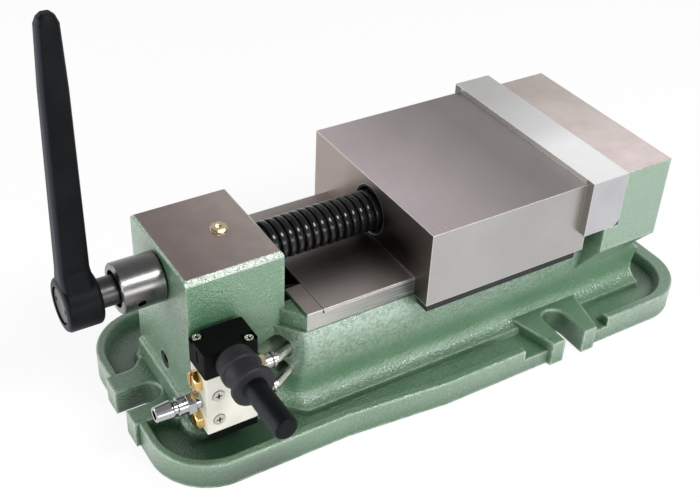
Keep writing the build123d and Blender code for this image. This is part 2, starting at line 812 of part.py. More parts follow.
def lever_arm():
    hub = rod_x(hub_radius, hub_left, hub_right, 0, axis_z)
    hub = fillet(hub.edges().filter_by(GeomType.CIRCLE), hub_round)
    low = lever_section(axis_z + 2, lever_x_low + 1.0, hub_right - hub_left - 1.5, 2 * lever_root, 5)
    knee = lever_section(axis_z + 26, lever_x_low, lever_width_low, lever_depth_low, 5)
    mid_x_arm = lever_x_low + (lever_x_high - lever_x_low) * (lever_mid_z - axis_z) / (lever_tip_z - axis_z)
    mid = lever_section(lever_mid_z, mid_x_arm, lever_width_mid, lever_depth_mid, 4.5)
    high = lever_section(lever_tip_z - lever_dome, lever_x_high, lever_width_high, lever_depth_high, 4)
    cap = lever_section(lever_tip_z - 0.35 * lever_dome, lever_x_high,
                        lever_width_high - 3, lever_depth_high - 3, 3)
    tip = lever_section(lever_tip_z, lever_x_high, lever_width_high - 7.5, lever_depth_high - 6.5, 1.5)
    body = hub + loft([low, knee]) + loft([knee, mid]) + loft([mid, high])
    body += loft([high, cap]) + loft([cap, tip])
    body -= rod_x(hub_recess_radius, hub_left - 1, hub_left + hub_recess_depth, 0, axis_z)
    body -= rod_x(cap_shank_radius + 0.4, hub_left, hub_right + 1, 0, axis_z)
    body -= rod_x(insert_core + 0.4, insert_left - 0.5, hub_right + 1, 0, axis_z)
    grown = toothed_face(shaft_radius + 0.35, shaft_radius + insert_tooth_depth + 0.35)
    bore = extrude(grown, hub_right + 1 - teeth_left + 0.3)
    body -= Pos(teeth_left - 0.3, 0, axis_z) * Rot(0, 90, 0) * bore
    return body


def power_piston():
    end = bearing_start
    start = end - power_piston_thick
    groove_r = cylinder_radius - shaft_gap - piston_seal_depth
    mid = (start + end) / 2
    half = piston_seal_width / 2
    outer = cylinder_radius - shaft_gap
    profile = [(start, shaft_radius + shaft_gap), (start, outer), (mid - half, outer)]
    profile += [(mid - half, groove_r), (mid + half, groove_r), (mid + half, outer)]
    profile += [(end, outer), (end, shaft_radius + shaft_gap)]
    return turned_x(profile, 0, axis_z)


def power_piston_seal():
    mid = bearing_start - power_piston_thick / 2
    half = piston_seal_width / 2 - seat_gap
    inner = cylinder_radius - shaft_gap - piston_seal_depth + seat_gap
    outer = cylinder_radius - 0.02
    profile = [(mid - half, inner), (mid - half, outer), (mid + half, outer), (mid + half, inner)]
    return turned_x(profile, 0, axis_z)


def bearing_ring(x, grow):
    inner = shaft_radius + grow
    return turned_x([(x, inner), (x, cylinder_radius - 0.5), (x + bearing_race, cylinder_radius - 0.5),
                     (x + bearing_race, inner)], 0, axis_z)


def thrust_balls():
    balls = []
    x = bearing_start + bearing_race + bearing_ball / 2
    for i in range(bearing_balls):
        angle = 2 * pi * i / bearing_balls
        place = Pos(x, bearing_pitch_radius * cos(angle), axis_z + bearing_pitch_radius * sin(angle))
        balls.append(place * Sphere(bearing_ball / 2 - 0.02))
    return Compound(balls)


def nose_bush():
    return turned_x([(nose_left + 1.5 + seat_gap, shaft_radius + shaft_gap),
                     (nose_left + 1.5 + seat_gap, bush_radius - seat_gap),
                     (cylinder_start - seat_gap, bush_radius - seat_gap),
                     (cylinder_start - seat_gap, shaft_radius + shaft_gap)], 0, axis_z)


def oil_fill_plug():
    """Small brass plug with a hexagon top on the nose."""
    shank = rod_z(plug_radius - seat_gap, nose_top - 5, nose_top, plug_x, 0)
    flange = rod_z(plug_radius + 1.6, nose_top, nose_top + 0.8, plug_x, 0)
    head = extrude(RegularPolygon(plug_hex / 2, 6, major_radius=False), plug_proud)
    head = Pos(plug_x, 0, nose_top) * head
    socket = extrude(RegularPolygon(2, 6, major_radius=False), 2)
    return shank + flange + head - Pos(plug_x, 0, nose_top + plug_proud - 1.5) * socket


def oil_bore_plug():
    body = rod_x(oil_bore_radius - seat_gap, nose_left + 1, nose_left + 1 + bore_plug_depth, 0, booster_z)
    return body - hex_x(6, nose_left, nose_left + 5, 0, booster_z)


def booster_cylinder():
    x0 = cavity_start + booster_cap_thick
    x1 = cavity_end - booster_cap_thick
    return rod_x(booster_outer, x0, x1, 0, booster_z) - rod_x(booster_inner, x0 - 1, x1 + 1, 0, booster_z)


def booster_cap(x0, bore):
    body = block(x0, x0 + booster_cap_thick, -booster_cap_half, booster_cap_half,
                 booster_z - booster_cap_half, booster_z + booster_cap_half)
    body = chamfer(body.edges().filter_by(Axis.X), 3)
    if bore:
        body -= rod_x(ram_radius + shaft_gap, x0 - 1, x0 + booster_cap_thick + 1, 0, booster_z)
    return body


def booster_piston():
    """Air piston with its long thin oil ram, one turned piece."""
    x0 = booster_piston_x
    x1 = x0 + booster_piston_thick
    outer = booster_inner - shaft_gap
    mid = (x0 + x1) / 2
    half = piston_seal_width / 2
    groove_r = outer - piston_seal_depth
    profile = [(ram_tip, 0), (ram_tip, ram_radius - 1), (ram_tip + 1, ram_radius), (x0, ram_radius),
               (x0, outer), (mid - half, outer), (mid - half, groove_r), (mid + half, groove_r),
               (mid + half, outer), (x1, outer), (x1, 0)]
    return turned_x(profile, 0, booster_z)


def booster_seal():
    mid = booster_piston_x + booster_piston_thick / 2
    half = piston_seal_width / 2 - seat_gap
    inner = booster_inner - shaft_gap - piston_seal_depth + seat_gap
    outer = booster_inner - 0.02
    return turned_x([(mid - half, inner), (mid - half, outer), (mid + half, outer), (mid + half, inner)],
                    0, booster_z)


def valve_mounting_block():
    return block(valve_left + 4, valve_right - 4, valve_back, -nose_half, valve_bottom + 6, valve_split + 6)


def valve_body():
    body = block(valve_left, valve_right, valve_front, valve_back, valve_bottom, valve_split)
    body = fillet(body.edges().filter_by(Axis.Z), 0.8)
    body -= rod_z(spool_radius, valve_bottom - 1, valve_split + 1, mid_x, spool_y)
    for z in valve_port_z:
        body -= rod_x(5.0, valve_left - 1, valve_left + port_depth, valve_port_y, z)
    for z in outlet_z:
        body -= rod_x(5.0, valve_right - port_depth, valve_right + 1, outlet_y, z)
    for z in valve_screw_z:
        body -= rod_y(2.0, valve_front - 1, valve_back + 1, valve_screw_x, z)
        body -= rod_y(valve_screw_radius + 0.3, valve_front - 1, valve_front + 1.2, valve_screw_x, z)
    return body


def valve_screws():
    screws = []
    for z in valve_screw_z:
        head = rod_y(valve_screw_radius, valve_front - 0.9, valve_front + 1.1, valve_screw_x, z)
        cross = block(valve_screw_x - 2.2, valve_screw_x + 2.2, valve_front - 2, valve_front + 0.1,
                      z - 0.5, z + 0.5)
        cross += block(valve_screw_x - 0.5, valve_screw_x + 0.5, valve_front - 2, valve_front + 0.1,
                       z - 2.2, z + 2.2)
        shank = rod_y(2.0 - seat_gap, valve_front + 1, valve_back - 1, valve_screw_x, z)
        screws.append(head - cross + shank)
    return Compound(screws)


def head_screw_places():
    return [(valve_left + head_ear / 2, valve_back - head_ear / 2 + 0.2),
            (valve_right - head_ear / 2, valve_front + head_ear / 2 - 0.2)]


def valve_head():
    """Black lever housing on the valve, with a step for a screw at two opposite corners."""
    body = block(valve_left - 0.6, valve_right + 0.6, valve_front - 0.6, valve_back, valve_split, valve_top)
    body = fillet(body.edges().filter_by(Axis.Z), 1.5)
    for x, y in head_screw_places():
        body -= block(x - head_ear / 2 - 1, x + head_ear / 2, y - head_ear / 2, y + head_ear / 2,
                      valve_top - head_step, valve_top + 1)
        body -= rod_z(1.6, valve_split + 2, valve_top, x, y)
    body -= block(valve_left - 2, valve_left - 0.6 + head_mark_depth, head_mark_y - head_mark_half,
                  head_mark_y + head_mark_half, head_mark_low, head_mark_high)
    pivot = Pos(mid_x, valve_pivot_y, valve_pivot_z)
    dome = pivot * Rot(90, 0, 0) * Sphere(dome_radius)
    dome -= block(valve_left - 9, valve_right + 9, valve_front, valve_back, valve_split - 9, valve_top + 9)
    body += dome
    mouth_depth = dome_radius + 2
    mouth = Cone(0.5, mouth_depth * tan(radians(dome_mouth)), mouth_depth,
                 align=(Align.CENTER, Align.CENTER, Align.MIN))
    body -= pivot * Rot(90, 0, 0) * mouth
    body -= pivot * Rot(90, 0, 0) * Sphere(valve_ball_radius + 0.4)
    pin_room = valve_pin_half + 0.3
    body -= rod_x(valve_pin_radius + valve_pin_gap, mid_x - pin_room, mid_x + pin_room,
                  valve_pivot_y, valve_pivot_z)
    room_half = finger_radius + 1
    body -= block(mid_x - room_half, mid_x + room_half, valve_pivot_y, spool_y + spool_radius,
                  valve_split - 1, valve_pivot_z + finger_radius + 3)
    body -= rod_z(spool_radius + 0.4, valve_split - 1, valve_pivot_z, mid_x, spool_y)
    return body


def valve_head_screws():
    screws = []
    for x, y in head_screw_places():
        z = valve_top - head_step
        head = rod_z(2.9, z, z + 2, x, y)
        head -= block(x - 1.8, x + 1.8, y - 0.45, y + 0.45, z + 1, z + 3)
        head -= block(x - 0.45, x + 0.45, y - 1.8, y + 1.8, z + 1, z + 3)
        screws.append(head + rod_z(1.55, valve_split + 3, z, x, y))
    return Compound(screws)


def valve_end_cap():
    body = block(valve_left + valve_cap_inset, valve_right, valve_front, valve_back,
                 valve_bottom - valve_cap_thick, valve_bottom)
    return fillet(body.edges().filter_by(Axis.Z), 1.0)


def valve_spool():
    """Spool with its lands, in the bore below the lever."""
    outer = spool_radius - shaft_gap
    neck = outer - 2
    top = valve_pivot_z - finger_radius - 0.9
    points = [(spool_bottom, 0), (spool_bottom, outer)]
    land = (valve_split - spool_bottom - 3) / 4
    for i in range(3):
        z = spool_bottom + 0.6 * land + i * land
        points += [(z, outer), (z, neck), (z + 0.4 * land, neck), (z + 0.4 * land, outer)]
    points += [(spool_bottom + 3.7 * land, outer), (spool_bottom + 3.7 * land, neck), (top, neck), (top, 0)]
    outline = Polyline(*[(r, 0, z) for z, r in points], close=True)
    return Pos(mid_x, spool_y, 0) * revolve(make_face(outline), Axis.Z)


def valve_lever_rod():
    """Pivot ball on its pin, with the push finger inside and the steel rod outside."""
    ball = Pos(mid_x, valve_pivot_y, valve_pivot_z) * Rot(90, 0, 0) * Sphere(valve_ball_radius)
    finger = rod_y(finger_radius, valve_pivot_y + 5, spool_y + 1.5, mid_x, valve_pivot_z)
    rod = rod_y(valve_rod_radius, boot_flange_y - 22, valve_pivot_y, mid_x, valve_pivot_z)
    pin = rod_x(valve_pin_radius, mid_x - valve_pin_half, mid_x + valve_pin_half,
                valve_pivot_y, valve_pivot_z)
    return ball + finger + rod + pin


def lever_boot():
    """Bell shaped black boot over the pivot dome, with a broad flange where the knob begins."""
    end = boot_flange_y - boot_flange_thick
    start = valve_pivot_y - boot_base_gap
    lip_end = boot_lip_y - boot_lip_width
    profile = [(start, 0), (start, boot_base_radius), (boot_lip_y + 1, boot_base_radius + 0.4),
               (boot_lip_y, boot_lip_radius), (lip_end, boot_lip_radius),
               (lip_end - 1, boot_base_radius - 0.2),
               (boot_flange_y + 5, boot_waist), (boot_flange_y + 2, boot_waist + 0.6),
               (boot_flange_y, boot_flange_radius - 1.5), (boot_flange_y, boot_flange_radius),
               (end + 1, boot_flange_radius), (end, boot_flange_radius - 1), (end, 0)]
    body = turned_y(profile, mid_x, valve_pivot_z)
    body -= Pos(mid_x, valve_pivot_y, valve_pivot_z) * Rot(90, 0, 0) * Sphere(dome_radius + 0.4)
    body -= rod_y(valve_rod_radius + seat_gap, end - 1, start + 1, mid_x, valve_pivot_z)
    return body


def lever_knob():
    start = boot_flange_y - boot_flange_thick
    body = rod_y(knob_radius, knob_end, start, mid_x, valve_pivot_z)
    body = fillet(body.edges().filter_by(GeomType.CIRCLE).sort_by(Axis.Y)[0], 2)
    body -= rod_y(valve_rod_radius + seat_gap, boot_flange_y - 22 - seat_gap, start + 1,
                  mid_x, valve_pivot_z)
    return body


def silencer(z):
    """Flat hexagon breather with a wide slot across its face."""
    x0 = valve_left - silencer_length
    profile = [(x0, 0), (x0, silencer_radius - 1.2), (x0 + 1.2, silencer_radius)]
    profile += [(valve_left, silencer_radius), (valve_left, 0)]
    skirt = turned_x(profile, valve_port_y, z)
    stem = rod_x(5.0 - seat_gap, valve_left - 1, valve_left + port_depth - 0.5, valve_port_y, z)
    body = (hex_x(silencer_hex, x0, valve_left, valve_port_y, z) & skirt) + stem
    half = silencer_slot / 2
    return body - block(x0 - 1, x0 + 2, valve_port_y - half, valve_port_y + half, z - 9, z + 9)


def silencers():
    return Compound([silencer(valve_port_z[0]), silencer(valve_port_z[2])])


def air_coupler_plug():
    """Quick coupler nipple in the valve inlet."""
    y = valve_port_y
    z = valve_port_z[1]
    x = valve_left
    hexagon = hex_x(coupler_hex, x - 9.5, x - 4.5, y, z)
    tip = x - plug_reach
    profile = [(tip, 0), (tip, 4.7), (tip + 0.6, 5.1), (tip + 10.5, 6.0), (tip + 11.5, 5.8), (tip + 12, 4.8),
               (tip + 14, 4.8), (tip + 14.8, 6.2), (tip + 20.6, 6.2), (tip + 21, 5.6), (x - 4, 5.6),
               (x - 4, 6.0), (x, 6.0), (x, 4.9), (x + port_depth - 0.5, 4.9), (x + port_depth - 0.5, 0)]
    body = hexagon + turned_x(profile, y, z)
    return body - rod_x(coupler_bore, tip - 1, x + port_depth, y, z)


def outlet_fitting(z):
    x = valve_right
    stem_end = x - port_depth + 0.5
    nut_end = x + fitting_nut
    end = x + fitting_length
    body = hex_x(fitting_hex, x, nut_end, outlet_y, z)
    body += rod_x(5.0 - seat_gap, stem_end, x, outlet_y, z)
    profile = [(nut_end, 0), (nut_end, fitting_collar), (end - 3, fitting_collar)]
    profile += [(end - 2.6, fitting_collar - 0.6), (end - 2.2, fitting_collar - 0.6)]
    profile += [(end - 2, fitting_collar + 0.4), (end - 0.5, fitting_collar + 0.4)]
    profile += [(end, fitting_collar), (end, 0)]
    body += turned_x(profile, outlet_y, z)
    return body - rod_x(tube_radius + seat_gap, nut_end, end + 1, outlet_y, z)


def outlet_fittings():
    return Compound([outlet_fitting(z) for z in outlet_z])


def air_tube(z_start, z_end, grow=0.0):
    """Steel tube from a valve outlet, bent into its slanted pocket and a seat behind it."""
    slant = radians(tube_angle)
    pocket = radians(pocket_angle)
    bend_x = valve_right + fitting_length + tube_lead
    beside = (pocket_x - bend_x) * cos(pocket) + (pocket_y - outlet_y) * sin(pocket)
    reach = (pocket_depth + beside) / cos(slant - pocket) + tube_seat
    end = (bend_x + reach * cos(slant), outlet_y + reach * sin(slant), z_end)
    start = (valve_right + fitting_nut, outlet_y, z_start)
    path = FilletPolyline(start, (bend_x, outlet_y, z_start), end, radius=tube_bend)
    ring = Plane(origin=start, z_dir=(1, 0, 0)) * Circle(tube_radius + grow)
    return sweep(ring, path=path)


def tie_rods():
    rods = []
    for y in (-tie_rod_offset, tie_rod_offset):
        for z in (-tie_rod_offset, tie_rod_offset):
            rods.append(rod_x(tie_rod_radius, cavity_start + booster_cap_thick,
                              cavity_end - booster_cap_thick, y, booster_z + z))
    return Compound(rods)


parts = {
    "base_casting": base_casting,
    "way_plate": way_plate,
    "fixed_jaw_plate": fixed_jaw_plate,
    "fixed_jaw_screws": fixed_jaw_screws,
    "moving_jaw": moving_jaw,
    "jaw_nut": jaw_nut,
    "angle_lock_balls": angle_lock_balls,
    "hold_down_plate": hold_down_plate,
    "hold_down_screws": hold_down_screws,
    "front_jaw_wiper": lambda: jaw_wiper(-1),
    "rear_jaw_wiper": lambda: jaw_wiper(1),
    "jaw_wiper_screws": jaw_wiper_screws,
    "screw_wiper_ring": screw_wiper_ring,
    "main_screw": main_screw,
    "screw_collar": screw_collar,
    "collar_grub_screw": collar_grub_screw,
    "lever_insert": lever_insert,
    "lever_arm": lever_arm,
    "lever_cap_screw": lever_cap_screw,
    "power_piston": power_piston,
    "power_piston_seal": power_piston_seal,
    "fixed_bearing_race": lambda: bearing_ring(bearing_start, shaft_gap + 0.4),
    "turning_bearing_race": lambda: bearing_ring(bearing_start + bearing_race + bearing_ball, seat_gap),
    "thrust_balls": thrust_balls,
    "nose_bush": nose_bush,
    "oil_fill_plug": oil_fill_plug,
    "oil_bore_plug": oil_bore_plug,
    "booster_cylinder": booster_cylinder,
    "booster_front_cap": lambda: booster_cap(cavity_start, True),
    "booster_rear_cap": lambda: booster_cap(cavity_end - booster_cap_thick, False),
    "booster_tie_rods": tie_rods,
    "booster_piston": booster_piston,
    "booster_piston_seal": booster_seal,
    "valve_mounting_block": valve_mounting_block,
    "valve_body": valve_body,
    "valve_screws": valve_screws,
    "valve_head": valve_head,
    "valve_head_screws": valve_head_screws,
    "valve_end_cap": valve_end_cap,
    "valve_spool": valve_spool,
    "valve_lever_rod": valve_lever_rod,
    "lever_boot": lever_boot,
    "lever_knob": lever_knob,
    "silencers": silencers,
    "air_coupler_plug": air_coupler_plug,
    "outlet_fittings": outlet_fittings,
    "upper_air_tube": lambda: air_tube(outlet_z[1], pocket_upper_z),
    "lower_air_tube": lambda: air_tube(outlet_z[0], pocket_lower_z),
}

os.makedirs("parts", exist_ok=True)
for name, make in parts.items():
    export_step(make(), os.path.join("parts", name + ".step"))
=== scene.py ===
import bpy
import bmesh
import math
from mathutils import Matrix, Vector


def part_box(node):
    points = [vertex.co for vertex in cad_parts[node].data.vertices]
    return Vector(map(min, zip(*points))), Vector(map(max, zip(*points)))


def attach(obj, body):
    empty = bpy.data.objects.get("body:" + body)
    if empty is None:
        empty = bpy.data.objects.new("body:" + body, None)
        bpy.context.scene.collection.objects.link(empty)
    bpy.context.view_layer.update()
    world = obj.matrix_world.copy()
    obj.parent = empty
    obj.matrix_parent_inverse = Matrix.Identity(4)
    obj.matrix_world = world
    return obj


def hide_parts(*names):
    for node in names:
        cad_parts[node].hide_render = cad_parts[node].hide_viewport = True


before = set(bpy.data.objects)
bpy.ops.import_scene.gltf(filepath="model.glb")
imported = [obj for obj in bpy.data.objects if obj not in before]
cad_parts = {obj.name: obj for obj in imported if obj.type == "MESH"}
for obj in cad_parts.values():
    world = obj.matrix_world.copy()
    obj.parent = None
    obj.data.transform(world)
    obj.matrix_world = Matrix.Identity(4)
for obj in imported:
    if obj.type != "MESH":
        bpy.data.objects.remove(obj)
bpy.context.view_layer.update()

# Sizes and places are in millimetres, and in metres for the camera and the studio
MM = 0.001
X, Y, Z = 0, 1, 2
ACROSS = (0, 1, 0)
UP = (0, 0, 1)
WHITE = (1.0, 1.0, 1.0)


def box_of(node):
    """Low and high corners of a CAD node."""
    low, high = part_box(node)
    return low / MM, high / MM


SCREW_LOW, SCREW_HIGH = box_of("main_screw")
COLLAR_LOW, COLLAR_HIGH = box_of("screw_collar")
WAY_LOW, WAY_HIGH = box_of("way_plate")
PLATE_HALF = box_of("fixed_jaw_plate")[1].y
CASTING_TOP = box_of("base_casting")[1].z

# Screw
AXIS_Z = (SCREW_LOW.z + SCREW_HIGH.z) / 2
SCREW_LINE = (0, 0, AXIS_Z), (1, 0, 0)
SHAFT_END = SCREW_LOW.x
SHAFT_RADIUS = 9.5
SHAFT_CHAMFER = 1.0
SHAFT_BORE = 4.0
SHAFT_BORE_DEPTH = 8.0
SHOULDER_X = -217.0
SHOULDER_RADIUS = 14.2
SHOULDER_WIDTH = 0.6
CORE_RADIUS = 12.0
CORE_END = SCREW_HIGH.x
THREAD_PITCH = 6.0
THREAD_FROM = SHOULDER_X + 1.0
THREAD_TO = CORE_END - 0.2
THREAD_SINK = 0.3
CREST_RISE = 2.4
RUN_OUT_TURNS = 0.35
ROUND_STEPS = 64
SHARP_ANGLE = 50.0

# Faces of the casting, as low and high corners of a box round each
SKIN = 0.2
NOSE_HEIGHT = 134.4
WAY_START = -208.7
WAY_SIDE_LOW = WAY_HIGH.z - 13.7
NOSE_TOP = (-290, -90, NOSE_HEIGHT - SKIN), (-210, 90, NOSE_HEIGHT + SKIN)
NOSE_CHAMFER = (-320, -90, NOSE_HEIGHT - 3.1), (-200, 0, NOSE_HEIGHT - 0.1)
REAR_TOP = (15, -90, CASTING_TOP - SKIN), (80, 90, CASTING_TOP + SKIN)
WAY_LEDGE = (WAY_START, -59, WAY_HIGH.z - 0.1), (WAY_LOW.x - SKIN, 59, WAY_HIGH.z + 0.1)
NEAR_WAY_SIDE = (WAY_START, WAY_LOW.y - SKIN, WAY_SIDE_LOW), (20.5, WAY_LOW.y + 0.1, WAY_HIGH.z + SKIN)
FAR_WAY_SIDE = (WAY_START, WAY_HIGH.y - 0.1, WAY_SIDE_LOW), (20.5, WAY_HIGH.y + SKIN, WAY_HIGH.z + SKIN)
UNDERSIDE = (-400, -100, -1), (200, 100, 0.05)
# inside of the bed's mouth, painted black as painted shade
BED_MOUTH = (-217, -28.4, 40), (-195, 28.4, 94.5)
PLATE_STEP = (WAY_LOW.x - 0.8, -58.5, WAY_LOW.z - 1.6), (WAY_LOW.x + 0.3, 58.5, WAY_HIGH.z - 0.1)
POCKET_ROOM = (-245, -60, 35), (-200, -30, 80)
POCKET_ANGLE = 23.0
POCKETS = [((-221.0, -45.5, 63.4), 8.95), ((-221.0, -45.5, 46.2), 6.75)]
# middle of the painted shadow on the tray floor below the valve
UNDER_VALVE_SHADOW = (-262, -64, 0)
RIGHT_OIL = (112, -56, 0)
JOINT_STRIP = 0.8

# Details of the valve
PLATED_ENDS = (-239.6, -70, 30), (-225, -45, 80)
BODY_SCREW_X = -276.0
BODY_SCREW_HEIGHTS = (43.6, 63.5)
BODY_SCREW_FACES = (-290, -68.7, 30), (-240, -40, 80)
HEAD_SCREWS = ((-280.25, -49.05), (-252.75, -64.45))
HEAD_SCREW_FACES = (-290, -70, 90), (-240, -40, 98.2)

# Colours of the casting
GREEN_DEEP = (0.092, 0.212, 0.112)
GREEN_PALE = (0.132, 0.272, 0.152)
GREEN_DRY_AND_PAINTED_LIGHT = (0.27, 0.37, 0.29)
GREEN_PAINTED_HIGHLIGHT = (0.36, 0.46, 0.38)
GREEN_CHAMFER_HIGHLIGHT = (0.62, 0.68, 0.62)
GREEN_LIGHT_GRAIN = (0.42, 0.54, 0.45)
GREEN_DARK_GRAIN = (0.030, 0.090, 0.042)
GREEN_PAINTED_SHADE = (0.022, 0.076, 0.034)
GREEN_OIL_AND_SHADOW = (0.018, 0.050, 0.024)
GREEN_EDGE_HIGHLIGHT = (0.56, 0.66, 0.57)
IRON_DEEP = (0.41, 0.352, 0.332)
IRON_PALE = (0.48, 0.418, 0.392)
IRON_STREAK = (0.60, 0.60, 0.57)
POCKET_TONE = (0.36, 0.56, 0.40)
MOUTH_SHADE_AND_JOINT_BLACK = (0.016, 0.014, 0.013)

# Colours of painted edge highlights, painted shade and reflection, a dark joint, oil, plating and oxide on
# the other pieces
METAL_EDGE_HIGHLIGHT = (0.86, 0.85, 0.82)
JAW_PAINTED_REFLECTION = (0.008, 0.006, 0.004)
JAW_JOINT = (0.035, 0.032, 0.030)
WAY_PAINTED_SHADE = (0.030, 0.026, 0.023)
COLLAR_OIL_AND_SHADE = (0.020, 0.019, 0.018)
CROSS_RECESS_SHADE = (0.015, 0.014, 0.014)
PLATED = (0.40, 0.395, 0.38)
OXIDE_DEEP = (0.005, 0.005, 0.006)
OXIDE_PALE = (0.014, 0.014, 0.015)

# Camera and studio, in metres
CAMERA_PLACE = Vector((-0.48188, -0.52246, 0.54213))
CAMERA_RIGHT = Vector((0.853256, -0.519844, 0.041423))
CAMERA_DOWN = Vector((-0.280632, -0.524664, -0.803725))
CAMERA_AHEAD = Vector((0.439544, 0.674159, -0.593558))
CAMERA_LENS = 57.29
FLOOR_RADIUS = 1.8
FLOOR_STEPS = 96
FLOOR_DROP = 0.0002
VISE_MIDDLE = Vector((-0.1, 0.0, 0.08))

# Lamps: the way to each from the vise, how far, its size in metres and its power in watts
LAMPS = {
    "key": ((0.26, -0.63, 0.73), 1.7, (0.45, 0.45), 14.0),
    "front": ((-0.1, -0.97, 0.10), 1.8, (2.5, 0.44), 16.0),
    "left": ((-0.97, 0.1, 0.09), 1.7, (1.8, 0.40), 11.5),
    "back": ((-0.7, 0.6, 0.4), 1.8, (0.9, 0.9), 4.5),
    "glint": ((1.13, 0.87, 0.87), 1.7, (0.35, 0.35), 0.2),
}


# Camera

def set_camera():
    """The camera of the photograph, as fitted to its straight edges."""
    data = bpy.data.cameras.new("camera")
    camera = bpy.data.objects.new("camera", data)
    bpy.context.scene.collection.objects.link(camera)
    data.sensor_fit = "HORIZONTAL"
    data.sensor_width = 36.0
    data.lens = CAMERA_LENS
    data.clip_start = 0.05
    data.clip_end = 50.0
    place = Matrix((CAMERA_RIGHT, -CAMERA_DOWN, -CAMERA_AHEAD)).transposed().to_4x4()
    place.translation = CAMERA_PLACE
    camera.matrix_world = place
    bpy.context.scene.camera = camera


# Shader helpers

class Net:
    """Adds shader nodes to a new material or world."""

    def __init__(self, owner, output):
        owner.use_nodes = True
        self.tree = owner.node_tree
        self.tree.nodes.clear()
        self.surface = self.add(output).inputs["Surface"]
        self.coords = self.add("ShaderNodeTexCoord").outputs

    def put(self, socket, value):
        """Links another node's output, or sets a value."""
        if isinstance(value, bpy.types.NodeSocket):
            self.tree.links.new(value, socket)
        elif socket.type == "RGBA":
            socket.default_value = (*value, 1.0)
        else:
            socket.default_value = value

    def add(self, kind, inputs=None, **settings):
        """A new node with its settings, then with what goes into its inputs."""
        node = self.tree.nodes.new(kind)
        for name, value in settings.items():
            setattr(node, name, value)
        for key, value in (inputs or {}).items():
            self.put(node.inputs[key], value)
        return node

    def maths(self, op, a, b=0.0, *more, clamp=False):
        """One operation on two values, and then on the result and each further value."""
        node = self.add("ShaderNodeMath", {0: a, 1: b}, operation=op, use_clamp=clamp)
        if more:
            return self.maths(op, node.outputs[0], *more, clamp=clamp)
        return node.outputs[0]

    def times(self, *values):
        """The product of all the values."""
        return self.maths("MULTIPLY", *values)

    def vector(self, op, a, b=(0.0, 0.0, 0.0)):
        return self.add("ShaderNodeVectorMath", {0: a, 1: b}, operation=op).outputs[0]

    def split(self, value):
        return self.add("ShaderNodeSeparateXYZ", {0: value}).outputs

    def span(self, value, low, high, to_low=0.0, to_high=1.0):
        """The value moved from one range to another and kept within it."""
        limits = {"From Min": low, "From Max": high, "To Min": to_low, "To Max": to_high}
        return self.add("ShaderNodeMapRange", {"Value": value, **limits}).outputs[0]

    def ramp(self, length, low, high, to_low=0.0, to_high=1.0):
        """The same for a place or a distance, with its limits in millimetres."""
        return self.span(length, low * MM, high * MM, to_low, to_high)

    def mix(self, factor, a, b, how="MIX"):
        """The mix of two colours."""
        node = self.add("ShaderNodeMix", {0: factor, 6: a, 7: b}, data_type="RGBA", blend_type=how)
        return node.outputs[2]

    def tint(self, factor, colour, tone):
        """The colour, multiplied by a tone where the factor is 1."""
        return self.mix(factor, colour, self.mix(1.0, colour, tone, "MULTIPLY"))

    def blend(self, factor, a, b):
        """The mix of two plain values."""
        return self.add("ShaderNodeMix", {0: factor, 2: a, 3: b}).outputs[0]


